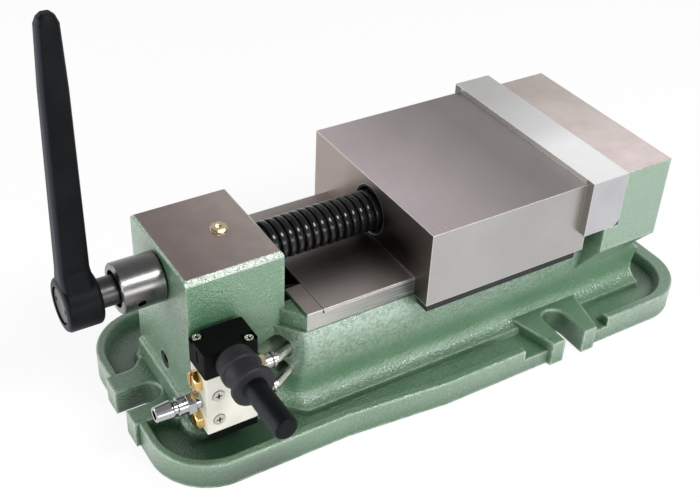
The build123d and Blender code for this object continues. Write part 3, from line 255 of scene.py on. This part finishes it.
class Paint(Net):
    """One new material round a principled shader."""

    def __init__(self, name):
        self.material = bpy.data.materials.new(name)
        super().__init__(self.material, "ShaderNodeOutputMaterial")
        self.shader = self.add("ShaderNodeBsdfPrincipled")
        self.put(self.surface, self.shader.outputs[0])
        self.place = self.coords["Object"]
        self.x, self.y, self.z = self.split(self.place)
        self.look = self.split(self.add("ShaderNodeNewGeometry").outputs["True Normal"])

    def set(self, name, value):
        self.put(self.shader.inputs[name], value)

    def noise(self, scale, detail=2.0, rough=0.5, stretch=(1.0, 1.0, 1.0)):
        """Noise with its scale per metre, drawn out along an axis whose stretch is small."""
        place = self.vector("MULTIPLY", self.place, stretch)
        settings = {"Vector": place, "Scale": scale, "Detail": detail, "Roughness": rough}
        return self.add("ShaderNodeTexNoise", settings).outputs["Fac"]

    def spread(self, noise, to_low=0.0, to_high=1.0):
        """Noise stretched from its usual range to the one given."""
        return self.span(noise, 0.3, 0.7, to_low, to_high)

    def cloud(self, scale, detail, rough=0.5, to_low=0.0, to_high=1.0):
        """New noise, stretched likewise."""
        return self.spread(self.noise(scale, detail, rough), to_low, to_high)

    def bump(self, height, depth, rounding, strength=1.0):
        """Normal of a surface with this relief and with rounded edges."""
        soft = self.add("ShaderNodeBevel", {"Radius": rounding * MM}, samples=4).outputs[0]
        relief = {"Height": height, "Distance": depth * MM, "Strength": strength, "Normal": soft}
        return self.add("ShaderNodeBump", relief).outputs[0]

    def occlusion(self, reach, **settings):
        """How open the surface is to what lies within reach."""
        kind = "ShaderNodeAmbientOcclusion"
        return self.add(kind, {"Distance": reach * MM}, samples=6, **settings).outputs["AO"]

    def convex_edges(self, width):
        """0 on open faces, rising to 1 along convex edges."""
        return self.span(self.occlusion(width, inside=True, only_local=True), 0.55, 0.92, 1.0, 0.0)

    def hollows(self, reach):
        """0 on open faces, rising to 1 deep in corners and recesses."""
        return self.span(self.occlusion(reach), 0.35, 0.95, 1.0, 0.0)

    def off_line(self, point, along):
        """Distance from a line, in metres."""
        gap = self.vector("SUBTRACT", self.place, [v * MM for v in point])
        across = self.vector("CROSS_PRODUCT", gap, Vector(along).normalized())
        return self.add("ShaderNodeVectorMath", {0: across}, operation="LENGTH").outputs["Value"]

    def near_line(self, point, along, radius):
        """1 within a radius of a line, 0 outside."""
        return self.maths("LESS_THAN", self.off_line(point, along), radius * MM)

    def inside(self, low, high):
        """1 inside a box, 0 outside."""
        centre = [(a + b) / 2 * MM for a, b in zip(low, high)]
        half = [(b - a) / 2 * MM for a, b in zip(low, high)]
        off_centre = self.vector("ABSOLUTE", self.vector("SUBTRACT", self.place, centre))
        x, y, z = self.split(self.vector("SUBTRACT", off_centre, half))
        return self.maths("LESS_THAN", self.maths("MAXIMUM", x, y, z), 0.0)

    def facing(self, axis, sign=1.0, limit=0.97):
        """1 where the true surface looks along an axis."""
        return self.maths("GREATER_THAN", self.times(self.look[axis], sign), limit)

    def ends(self, axis):
        """1 where the true surface looks either way along an axis."""
        return self.maths("ADD", self.facing(axis, -1.0, 0.9), self.facing(axis, 1.0, 0.9), clamp=True)


# Green casting

def rear_mask(net):
    """Block behind the fixed jaw, drier and smoother than the rest."""
    return net.times(net.ramp(net.x, 12, 22), net.ramp(net.z, 76, 86))


def rim_mask(net):
    """Front of the tray's rim, painted lighter towards the fixed jaw as painted light on the face that
    looks forward.
    """
    front = net.facing(Y, -1.0, 0.5)
    return net.times(net.ramp(net.y, -88, -91), net.ramp(net.x, -120, 20, 0.10, 0.45), front)


def flank_highlight_mask(net):
    """Painted highlight, mottled, on the flank of the bed between its foot and the ways."""
    mottle = net.span(net.noise(420.0, 2.0, 0.6), 0.38, 0.64, 0.16, 0.90)
    run = net.times(net.ramp(net.x, 20, -60, 0.55, 1.0), net.ramp(net.x, -250, -205))
    height = net.times(net.ramp(net.z, 34, 50), net.ramp(net.z, 81, 79))
    return net.times(run, height, mottle)


def chamfer_highlight_mask(net):
    """Painted highlight on the near chamfer of the nose, broken up in patches."""
    patchy = net.span(net.noise(520.0, 2.0, 0.6), 0.36, 0.60, 0.25, 0.95)
    return net.times(net.facing(Y, -1.0, 0.5), net.inside(*NOSE_CHAMFER), patchy)


def oil_and_shadow_mask(net):
    """Oil on the tray floor near the right end, and painted shadow on the floor below the valve."""
    # painted shadow of the valve and the rim on the floor below the valve
    left = net.ramp(net.off_line(UNDER_VALVE_SHADOW, UP), 55, 20)
    right = net.ramp(net.off_line(RIGHT_OIL, UP), 34, 12)
    return net.times(net.maths("MAXIMUM", left, right), net.ramp(net.z, 20, 12.5), 0.80)


def edge_highlight_mask(net):
    """Painted highlight along convex edges in places, most of all low down."""
    places = net.span(net.noise(170.0, 3.0, 0.6), 0.34, 0.62, 0.20, 1.0)
    return net.times(net.convex_edges(2.4), places, net.ramp(net.z, 34, 42, 1.0, 0.45), 0.80)


def enamel(net, fine, shaded_hollows):
    """Green in broad clouds with a fine grain, a drier rear block, oil, and painted light: a lighter rim
    front, highlights on the flank, chamfer and edges, and shade in hollows and below the valve.
    """
    rear = rear_mask(net)
    grain = net.span(rear, 0.0, 1.0, 1.0, 0.2)
    layers = [
        (net.times(rear, 0.45), GREEN_DRY_AND_PAINTED_LIGHT),
        # the rim's front face painted lighter, as painted light
        (rim_mask(net), GREEN_DRY_AND_PAINTED_LIGHT),
        # painted highlight on the bed's flank
        (flank_highlight_mask(net), GREEN_PAINTED_HIGHLIGHT),
        # painted highlight on the nose's near chamfer
        (chamfer_highlight_mask(net), GREEN_CHAMFER_HIGHLIGHT),
        (net.times(grain, net.span(fine, 0.52, 0.74, 0.0, 0.32)), GREEN_LIGHT_GRAIN),
        (net.times(grain, net.span(fine, 0.48, 0.26, 0.0, 0.34)), GREEN_DARK_GRAIN),
        # painted shade in hollows and corners
        (net.times(shaded_hollows, net.ramp(net.x, -80, 20, 0.80, 0.70)), GREEN_PAINTED_SHADE),
        # oil near the right end, and painted shadow below the valve
        (oil_and_shadow_mask(net), GREEN_OIL_AND_SHADOW),
        # painted highlight along convex edges
        (edge_highlight_mask(net), GREEN_EDGE_HIGHLIGHT),
    ]
    paint = net.mix(net.cloud(16.0, 3.0, 0.55), GREEN_DEEP, GREEN_PALE)
    for mask, colour in layers:
        paint = net.mix(mask, paint, colour)
    return paint


def bare_masks(net):
    """Masks of the casting's machined faces, air line pockets, the dark joint at the plate's step, and the
    bed's mouth painted black as painted shade.
    """
    up = net.facing(Z)
    slant = math.radians(POCKET_ANGLE)
    into = (math.cos(slant), math.sin(slant), 0.0)
    pockets = [net.near_line(mouth, into, radius) for mouth, radius in POCKETS]
    return {
        "nose_top": net.times(net.inside(*NOSE_TOP), up),
        "rear_top": net.times(net.inside(*REAR_TOP), up),
        "way_ledge": net.times(net.inside(*WAY_LEDGE), up),
        "way_sides": net.maths("ADD", net.inside(*NEAR_WAY_SIDE), net.inside(*FAR_WAY_SIDE)),
        "underside": net.inside(*UNDERSIDE),
        "pockets": net.times(net.maths("MAXIMUM", *pockets), net.inside(*POCKET_ROOM)),
        "joints": net.maths("MAXIMUM", net.inside(*BED_MOUTH), net.inside(*PLATE_STEP)),
    }


def bare_iron(net, masks):
    """Machined iron, in the tone of each face, with painted reflection on the nose top and a painted
    highlight on the rear top.
    """
    # nose top darker to the left, as painted reflection
    nose_painted_reflection = net.mix(net.ramp(net.x, -275, -215), (0.62, 0.57, 0.56), (1.05, 1.02, 1.02))
    # rear top lighter towards the near side, as painted highlight
    rear_painted_highlight = net.mix(net.ramp(net.y, 50, -60), (1.28, 1.32, 1.28), (2.02, 2.02, 2.10))
    side_tone = net.mix(net.ramp(net.x, -200, -135), (0.50, 0.51, 0.46), (0.15, 0.155, 0.15))
    streaks = net.noise(900.0, 2.0, 0.6, stretch=(0.03, 1.0, 1.0))
    side_tone = net.mix(net.span(streaks, 0.4, 0.7, 0.0, 0.4), side_tone, IRON_STREAK)
    iron = net.mix(net.cloud(60.0, 4.0, 0.6), IRON_DEEP, IRON_PALE)
    iron = net.tint(masks["nose_top"], iron, nose_painted_reflection)
    iron = net.tint(masks["rear_top"], iron, rear_painted_highlight)
    iron = net.mix(masks["way_sides"], iron, side_tone)
    iron = net.tint(masks["pockets"], iron, POCKET_TONE)
    # painted shade in the bed's mouth, and the dark joint at the plate's step
    return net.mix(masks["joints"], iron, MOUTH_SHADE_AND_JOINT_BLACK)


def green_enamel():
    """Thick green machine enamel on the casting, with its machined faces bare."""
    net = Paint("green_enamel")
    fine = net.noise(900.0, 1.0)
    shaded_hollows = net.hollows(24)
    masks = bare_masks(net)
    bare = net.maths("ADD", *masks.values(), clamp=True)
    net.set("Base Color", net.mix(bare, enamel(net, fine, shaded_hollows), bare_iron(net, masks)))
    net.set("Metallic", net.times(bare, net.span(masks["pockets"], 0.0, 1.0, 0.85, 0.0)))
    net.set("Specular IOR Level", net.span(shaded_hollows, 0.1, 0.9, 0.9, 0.30))
    painted = net.span(bare, 0.0, 1.0, 1.0, 0.0)
    net.set("Coat Weight", net.times(painted, net.span(shaded_hollows, 0.1, 0.8, 1.0, 0.12)))
    net.set("Coat Roughness", 0.20)
    net.set("Coat IOR", 1.65)
    net.set("Roughness", net.blend(bare, net.cloud(40.0, 3.0, to_low=0.26, to_high=0.36), 0.38))
    peel = net.maths("ADD", net.times(net.noise(330.0, 2.0, 0.55), 0.8), net.times(fine, 0.9))
    grind = net.times(net.noise(2500.0, stretch=(1.0, 0.02, 1.0)), 0.03)
    relief = net.bump(net.blend(bare, peel, grind), 0.55, 1.4)
    net.set("Normal", relief)
    net.set("Coat Normal", relief)
    return net.material


# Other metals

def ground_metal(name, dark, pale, along, rough, shade=None):
    """Ground iron or steel with fine lines along one axis, painted highlights along its edges, and tones
    where shade says so.
    """
    net = Paint(name)
    stretch = [1.0, 1.0, 1.0]
    stretch[along] = 0.02
    lines = net.noise(1800.0, 3.0, 0.6, stretch)
    tone = net.maths("ADD", net.spread(lines, 0.0, 0.4), net.cloud(9.0, 3.0, to_high=0.6))
    colour = net.mix(tone, dark, pale)
    if shade:
        colour = shade(net, colour)
    # painted highlight along convex edges
    net.set("Base Color", net.mix(net.times(net.convex_edges(0.8), 0.8), colour, METAL_EDGE_HIGHLIGHT))
    net.set("Metallic", 0.9)
    net.set("Roughness", net.spread(lines, rough - 0.05, rough + 0.05))
    net.set("Normal", net.bump(lines, 0.04, 0.4))
    return net.material


def jaw_shade(net, colour):
    """Sides painted lighter and greyer, a painted sheen on the top that darkens towards the joint, a dark
    joint line, and the inner end painted darker with a painted dark reflection of the screw.
    """
    top = net.facing(Z, 1.0, 0.9)
    inner_end = net.facing(X, -1.0, 0.9)
    # painted sheen: the top lighter near its open end, darker towards the joint
    painted_sheen = net.mix(net.ramp(net.x, -127, -30), (1.46, 1.42, 1.50), (0.72, 0.73, 0.73))
    joint = net.times(top, net.maths("GREATER_THAN", net.x, -JOINT_STRIP * MM))
    # painted dark reflection of the screw on the inner end, darkest near it
    painted_screw_shade = net.times(net.ramp(net.y, 34, -4), net.ramp(net.y, -73, -50, 0.72, 1.0))
    painted_screw_shade = net.times(painted_screw_shade, net.ramp(net.z, 134, 108, 0.45, 1.0), net.cloud(30.0, 3.0, to_low=0.88))
    # sides painted lighter and greyer, as painted light
    colour = net.tint(net.ends(Y), colour, (1.05, 1.14, 1.13))
    colour = net.tint(top, colour, painted_sheen)
    colour = net.mix(joint, colour, JAW_JOINT)
    # inner end painted darker, as painted shade
    colour = net.tint(inner_end, colour, (0.86, 0.81, 0.76))
    return net.mix(net.times(painted_screw_shade, inner_end, 0.97), colour, JAW_PAINTED_REFLECTION)


def way_shade(net, colour):
    """Painted shade and dark reflection of the screw on the top of the ways under it."""
    # painted shade and dark reflection of the screw on the ways' top
    painted_screw_shade = net.times(net.ramp(net.y, -56, -16), net.ramp(net.y, 60, 30, 0.25, 1.0))
    painted_screw_shade = net.times(painted_screw_shade, net.ramp(net.x, -196, -160, 0.55, 1.0), net.cloud(40.0, 3.0, to_low=0.88))
    return net.mix(net.times(painted_screw_shade, net.facing(Z, 1.0, 0.9), 0.82), colour, WAY_PAINTED_SHADE)


def plate_shade(net, colour):
    """Steel with a painted highlight growing towards the near end, ends painted darker grey as painted
    shade, and painted shade on the face towards the jaw, deepest past the jaw's ends.
    """
    # painted shade on the face towards the jaw, darkest where it reaches past the jaw
    outer_shade = net.ramp(net.maths("ABSOLUTE", net.y), PLATE_HALF - 8.5, PLATE_HALF - 6.5)
    face_shade = net.mix(outer_shade, (0.66, 0.65, 0.63), (0.26, 0.24, 0.22))
    grey = net.mix(net.noise(45.0, 3.0), (0.44, 0.44, 0.46), (0.60, 0.60, 0.62))
    # painted highlight towards the near end
    colour = net.mix(net.ramp(net.y, 50, -30), colour, (0.86, 0.86, 0.87))
    colour = net.tint(net.ramp(net.y, -5, -45), colour, (1.30, 1.30, 1.29))
    # ends painted darker grey, as painted shade
    colour = net.mix(net.ends(Y), colour, grey)
    return net.tint(net.facing(X, -1.0, 0.9), colour, face_shade)


def turned_metal(name, dark, pale, axis, rough, shade=None):
    """Turned metal with fine rings round an axis, and a second tone where shade says so."""
    net = Paint(name)
    stretch = [0.0, 0.0, 0.0]
    stretch[axis] = 1.0
    rings = net.noise(2600.0, 2.0, 0.6, stretch)
    cloud = net.noise(70.0)
    colour = net.mix(net.times(rings, net.span(cloud, 0.2, 0.8, 0.6, 1.2)), dark, pale)
    if shade:
        colour = shade(net, colour)
    net.set("Base Color", colour)
    net.set("Metallic", 1.0)
    net.set("Roughness", net.spread(cloud, rough - 0.03, rough + 0.04))
    net.set("Normal", net.bump(rings, 0.02, 0.3, 0.6))
    return net.material


def collar_shade(net, colour):
    """Oil and painted shade in the collar's mouth and in the hole of its grub screw."""
    mouth = net.near_line(*SCREW_LINE, 12.35)
    hole = net.near_line(*SCREW_LINE, COLLAR_HIGH.y - 0.4)
    shell = net.inside((COLLAR_LOW.x + 0.3, -30, 80), (COLLAR_HIGH.x - 0.3, 30, 140))
    return net.mix(net.maths("MAXIMUM", mouth, net.times(hole, shell)), colour, COLLAR_OIL_AND_SHADE)


def fitting_shade(net, colour):
    """Plated collars at the ends of the brass nuts."""
    return net.mix(net.inside(*PLATED_ENDS), colour, PLATED)


def cross_shade(net, colour):
    """Painted shade in the cross recesses of the valve's screws."""
    marks = []
    for z in BODY_SCREW_HEIGHTS:
        spot = net.near_line((BODY_SCREW_X, 0, z), ACROSS, 2.4)
        marks.append(net.times(spot, net.inside(*BODY_SCREW_FACES)))
    for x, y in HEAD_SCREWS:
        spot = net.near_line((x, y, 0), UP, 1.95)
        marks.append(net.times(spot, net.inside(*HEAD_SCREW_FACES)))
    # painted shade in the recesses
    return net.mix(net.maths("MAXIMUM", *marks), colour, CROSS_RECESS_SHADE)


def oiled_black(net, rough, shine):
    """Black oxide steel with a film of oil."""
    cloud = net.noise(120.0, 3.0)
    net.set("Base Color", net.mix(net.spread(cloud), OXIDE_DEEP, OXIDE_PALE))
    net.set("Specular IOR Level", shine)
    net.set("Roughness", net.spread(cloud, rough - 0.04, rough + 0.08))
    net.set("Normal", net.bump(net.noise(1500.0), 0.02, 0.4))
    return net.material


def black_oxide():
    """Black of the small screws and the inner steel."""
    return oiled_black(Paint("black_oxide"), 0.30, 0.8)


def screw_black():
    """The screw's black, dull deep in the thread and on the shaft."""
    net = Paint("screw_black")
    thread = net.span(net.hollows(7), 0.10, 0.62, 0.34, 0.01)
    shaft = net.ramp(net.x, SHOULDER_X - 1, SHOULDER_X, 0.35, 1.0)
    return oiled_black(net, 0.11, net.times(thread, shaft))


# Plastic and rubber

def plastic(name, colour, rough, grain, depth, specular=0.5, painted_light_side=None):
    """Moulded plastic or rubber, with a painted reflection as a second tone on the faces of its own -X
    side, where given.
    """
    net = Paint(name)
    texture = net.noise(grain, 2.0, 0.6)
    lifted = [min(1.0, c * 1.35 + 0.004) for c in colour]
    tone = net.mix(net.cloud(35.0, 2.0), colour, lifted)
    # own -X faces painted lighter, as painted reflection
    if painted_light_side:
        own_x = net.split(net.coords["Normal"])[X]
        tone = net.mix(net.span(own_x, -0.55, -0.85), tone, painted_light_side)
    net.set("Base Color", tone)
    net.set("Specular IOR Level", specular)
    net.set("Roughness", net.spread(texture, rough - 0.04, rough + 0.06))
    net.set("Normal", net.bump(texture, depth, 0.6))
    return net.material


# Screw with its thread

def ring_point(build, x, radius, step):
    """New vertex on a circle round the screw's axis."""
    turn = 2 * math.pi * step / ROUND_STEPS
    y = -radius * math.sin(turn)
    z = AXIS_Z + radius * math.cos(turn)
    return build.verts.new((x * MM, y * MM, z * MM))


def screw_bar(build):
    """Shaft, shoulder and thread core of the screw, with the bore for its cap screw."""
    bore_end = SHAFT_END + SHAFT_BORE_DEPTH
    profile = [(bore_end, 0.0), (bore_end, SHAFT_BORE), (SHAFT_END, SHAFT_BORE)]
    profile += [(SHAFT_END, SHAFT_RADIUS - SHAFT_CHAMFER), (SHAFT_END + SHAFT_CHAMFER, SHAFT_RADIUS)]
    profile += [(SHOULDER_X, SHAFT_RADIUS), (SHOULDER_X, SHOULDER_RADIUS)]
    shoulder_end = SHOULDER_X + SHOULDER_WIDTH
    profile += [(shoulder_end, SHOULDER_RADIUS), (shoulder_end + 0.2, CORE_RADIUS)]
    profile += [(CORE_END, CORE_RADIUS), (CORE_END, 0.0)]
    rings = []
    for x, radius in profile:
        steps = ROUND_STEPS if radius else 1
        rings.append([ring_point(build, x, radius, step) for step in range(steps)])
    for a, b in zip(rings, rings[1:]):
        for i in range(ROUND_STEPS):
            j = (i + 1) % ROUND_STEPS
            corners = (a[i % len(a)], b[i % len(b)], b[j % len(b)], a[j % len(a)])
            # a ring of one vertex gives the same corner twice
            build.faces.new(list(dict.fromkeys(corners)))


def thread_profile():
    """Section of the thread from groove to groove, as places along the axis and rises over the core."""
    half = [(0.47, -THREAD_SINK), (0.43, 0.0), (0.405, 0.9), (0.365, 1.6), (0.30, 2.1)]
    half += [(0.22, CREST_RISE - 0.08), (0.12, CREST_RISE)]
    left = [(-share * THREAD_PITCH, rise) for share, rise in half]
    return left + [(0.0, CREST_RISE)] + [(-x, rise) for x, rise in reversed(left)]


def screw_helix(build):
    """Right hand thread with broad rounded crests and narrow grooves."""
    profile = thread_profile()
    edge = profile[-1][0]
    foot = CORE_RADIUS - THREAD_SINK
    count = int((THREAD_TO - THREAD_FROM - 2 * edge) / THREAD_PITCH * ROUND_STEPS)
    rings = []
    for i in range(count + 1):
        x = THREAD_FROM + edge + THREAD_PITCH * i / ROUND_STEPS
        grown = min(1.0, min(i, count - i) / (ROUND_STEPS * RUN_OUT_TURNS))
        ring = [(x + dx, foot + (rise + THREAD_SINK) * grown) for dx, rise in profile]
        rings.append([ring_point(build, along, radius, i) for along, radius in ring])
    for a, b in zip(rings, rings[1:]):
        for j in range(len(profile) - 1):
            build.faces.new((a[j], a[j + 1], b[j + 1], b[j]))
    build.faces.new(rings[0])
    build.faces.new(rings[-1][::-1])


def threaded_screw(material):
    """The whole screw with its real thread, in place of the plain bar over its crests."""
    mesh = bpy.data.meshes.new("threaded_screw")
    build = bmesh.new()
    screw_bar(build)
    screw_helix(build)
    bmesh.ops.recalc_face_normals(build, faces=build.faces)
    build.to_mesh(mesh)
    build.free()
    mesh.polygons.foreach_set("use_smooth", [True] * len(mesh.polygons))
    mesh.set_sharp_from_angle(angle=math.radians(SHARP_ANGLE))
    mesh.materials.append(material)
    piece = bpy.data.objects.new("threaded_screw", mesh)
    bpy.context.scene.collection.objects.link(piece)
    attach(piece, "screw")
    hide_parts("main_screw")


# Which node wears what

def iron_and_steel():
    """Ground and turned steel, each with the nodes it is on."""
    return [
        (ground_metal("jaw_iron", (0.36, 0.32, 0.31), (0.50, 0.445, 0.44), Y, 0.35, jaw_shade),
         ["moving_jaw"]),
        (ground_metal("way_iron", (0.42, 0.365, 0.35), (0.54, 0.48, 0.46), X, 0.36, way_shade),
         ["way_plate"]),
        (ground_metal("plate_steel", (0.58, 0.575, 0.57), (0.72, 0.715, 0.71), Y, 0.32, plate_shade),
         ["fixed_jaw_plate"]),
        (turned_metal("turned_steel", (0.12, 0.119, 0.117), (0.27, 0.266, 0.262), X, 0.25, collar_shade),
         ["screw_collar", "booster_cylinder", "booster_tie_rods", "booster_piston", "power_piston",
          "fixed_bearing_race", "turning_bearing_race", "thrust_balls", "angle_lock_balls",
          "valve_lever_rod", "valve_spool"]),
        (turned_metal("tube_steel", (0.46, 0.46, 0.42), (0.62, 0.62, 0.57), X, 0.18),
         ["upper_air_tube", "lower_air_tube"]),
        (turned_metal("screw_plating", (0.52, 0.50, 0.46), (0.66, 0.64, 0.60), Y, 0.24, cross_shade),
         ["valve_screws", "valve_head_screws", "jaw_wiper_screws"]),
        (turned_metal("plug_chrome", (0.38, 0.39, 0.39), (0.54, 0.55, 0.55), X, 0.10),
         ["air_coupler_plug"]),
        (black_oxide(),
         ["fixed_jaw_screws", "jaw_nut", "hold_down_plate", "hold_down_screws", "collar_grub_screw",
          "lever_insert", "lever_cap_screw", "oil_bore_plug"]),
    ]


def brass_and_alloy():
    """Metals with a colour of their own and cast alloy, each with the nodes it is on."""
    return [
        (turned_metal("gold_brass", (0.62, 0.40, 0.15), (0.84, 0.60, 0.27), X, 0.24), ["silencers"]),
        (turned_metal("pale_brass", (0.55, 0.43, 0.28), (0.78, 0.68, 0.52), Z, 0.24), ["oil_fill_plug"]),
        (turned_metal("fitting_brass", (0.36, 0.32, 0.20), (0.50, 0.45, 0.30), X, 0.26, fitting_shade),
         ["outlet_fittings"]),
        (turned_metal("bronze_bush", (0.42, 0.26, 0.12), (0.55, 0.36, 0.18), X, 0.35), ["nose_bush"]),
        (ground_metal("cast_alloy", (0.45, 0.45, 0.46), (0.58, 0.58, 0.59), Y, 0.40),
         ["booster_front_cap", "booster_rear_cap"]),
    ]


def moulded():
    """Plastics and rubbers, each with the nodes it is on."""
    return [
        (plastic("white_body", (0.66, 0.65, 0.58), 0.42, 1500.0, 0.01), ["valve_body"]),
        (plastic("lever_black", (0.0026, 0.0032, 0.0042), 0.40, 1100.0, 0.10, 0.09, (0.026, 0.030, 0.038)),
         ["lever_arm", "lever_knob"]),
        (plastic("head_black", (0.0020, 0.0025, 0.0026), 0.50, 1500.0, 0.03, 0.05),
         ["valve_head", "valve_end_cap", "valve_mounting_block"]),
        (plastic("boot_rubber", (0.016, 0.016, 0.019), 0.50, 1500.0, 0.03, 0.25), ["lever_boot"]),
        (plastic("strip_rubber", (0.018, 0.020, 0.021), 0.60, 1500.0, 0.03, 0.25),
         ["front_jaw_wiper", "rear_jaw_wiper", "screw_wiper_ring", "power_piston_seal",
          "booster_piston_seal"]),
    ]


def dress(screw_material):
    """Gives every CAD node its material."""
    looks = [(green_enamel(), ["base_casting"]), (screw_material, ["main_screw"])]
    for material, nodes in looks + iron_and_steel() + brass_and_alloy() + moulded():
        for node in nodes:
            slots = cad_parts[node].data.materials
            slots.clear()
            slots.append(material)


# Studio

def seen_directly(net, share):
    """The share given for what the camera, metal and glass see, and 0 for other light."""
    rays = net.add("ShaderNodeLightPath").outputs
    seen = net.maths("MAXIMUM", rays["Is Camera Ray"], rays["Is Glossy Ray"], rays["Is Transmission Ray"])
    return net.times(seen, share)


def add_floor():
    """Pale round floor, brightened towards white where it is seen."""
    mesh = bpy.data.meshes.new("floor")
    build = bmesh.new()
    bmesh.ops.create_circle(build, cap_ends=True, segments=FLOOR_STEPS, radius=FLOOR_RADIUS)
    build.to_mesh(mesh)
    build.free()
    net = Paint("floor")
    net.set("Base Color", (0.88, 0.88, 0.87))
    net.set("Roughness", 0.9)
    net.set("Specular IOR Level", 0.1)
    glow = net.add("ShaderNodeEmission", {"Color": WHITE, "Strength": 1.1}).outputs[0]
    shaders = {0: seen_directly(net, 0.80), 1: net.shader.outputs[0], 2: glow}
    net.put(net.surface, net.add("ShaderNodeMixShader", shaders).outputs[0])
    mesh.materials.append(net.material)
    floor = bpy.data.objects.new("floor", mesh)
    floor.location.z = -FLOOR_DROP
    bpy.context.scene.collection.objects.link(floor)


def add_world():
    """White round the horizon and greyer overhead, seen at full strength and lit by at less."""
    world = bpy.data.worlds.new("world")
    bpy.context.scene.world = world
    net = Net(world, "ShaderNodeOutputWorld")
    height = net.split(net.coords["Generated"])[Z]

    def sky(horizon, overhead):
        strength = net.span(height, 0.05, 0.9, horizon, overhead)
        return net.add("ShaderNodeBackground", {"Color": WHITE, "Strength": strength}).outputs[0]

    shaders = {0: seen_directly(net, 1.0), 1: sky(0.50, 0.12), 2: sky(1.0, 0.35)}
    net.put(net.surface, net.add("ShaderNodeMixShader", shaders).outputs[0])


def add_lamp(name, way, away, size, power):
    """Area lamp that looks at the middle of the vise from one way and as far off as given."""
    data = bpy.data.lights.new(name, "AREA")
    data.shape = "RECTANGLE"
    data.size, data.size_y = size
    data.energy = power
    lamp = bpy.data.objects.new(name, data)
    lamp.location = VISE_MIDDLE + Vector(way).normalized() * away
    lamp.rotation_mode = "QUATERNION"
    lamp.rotation_quaternion = (VISE_MIDDLE - lamp.location).to_track_quat("-Z", "Y")
    bpy.context.scene.collection.objects.link(lamp)


def studio():
    """Floor, sky and lamps."""
    add_floor()
    add_world()
    for name, facts in LAMPS.items():
        add_lamp(name, *facts)


set_camera()
screw_material = screw_black()
dress(screw_material)
threaded_screw(screw_material)
studio()

bpy.context.scene.view_settings.view_transform = "Standard"
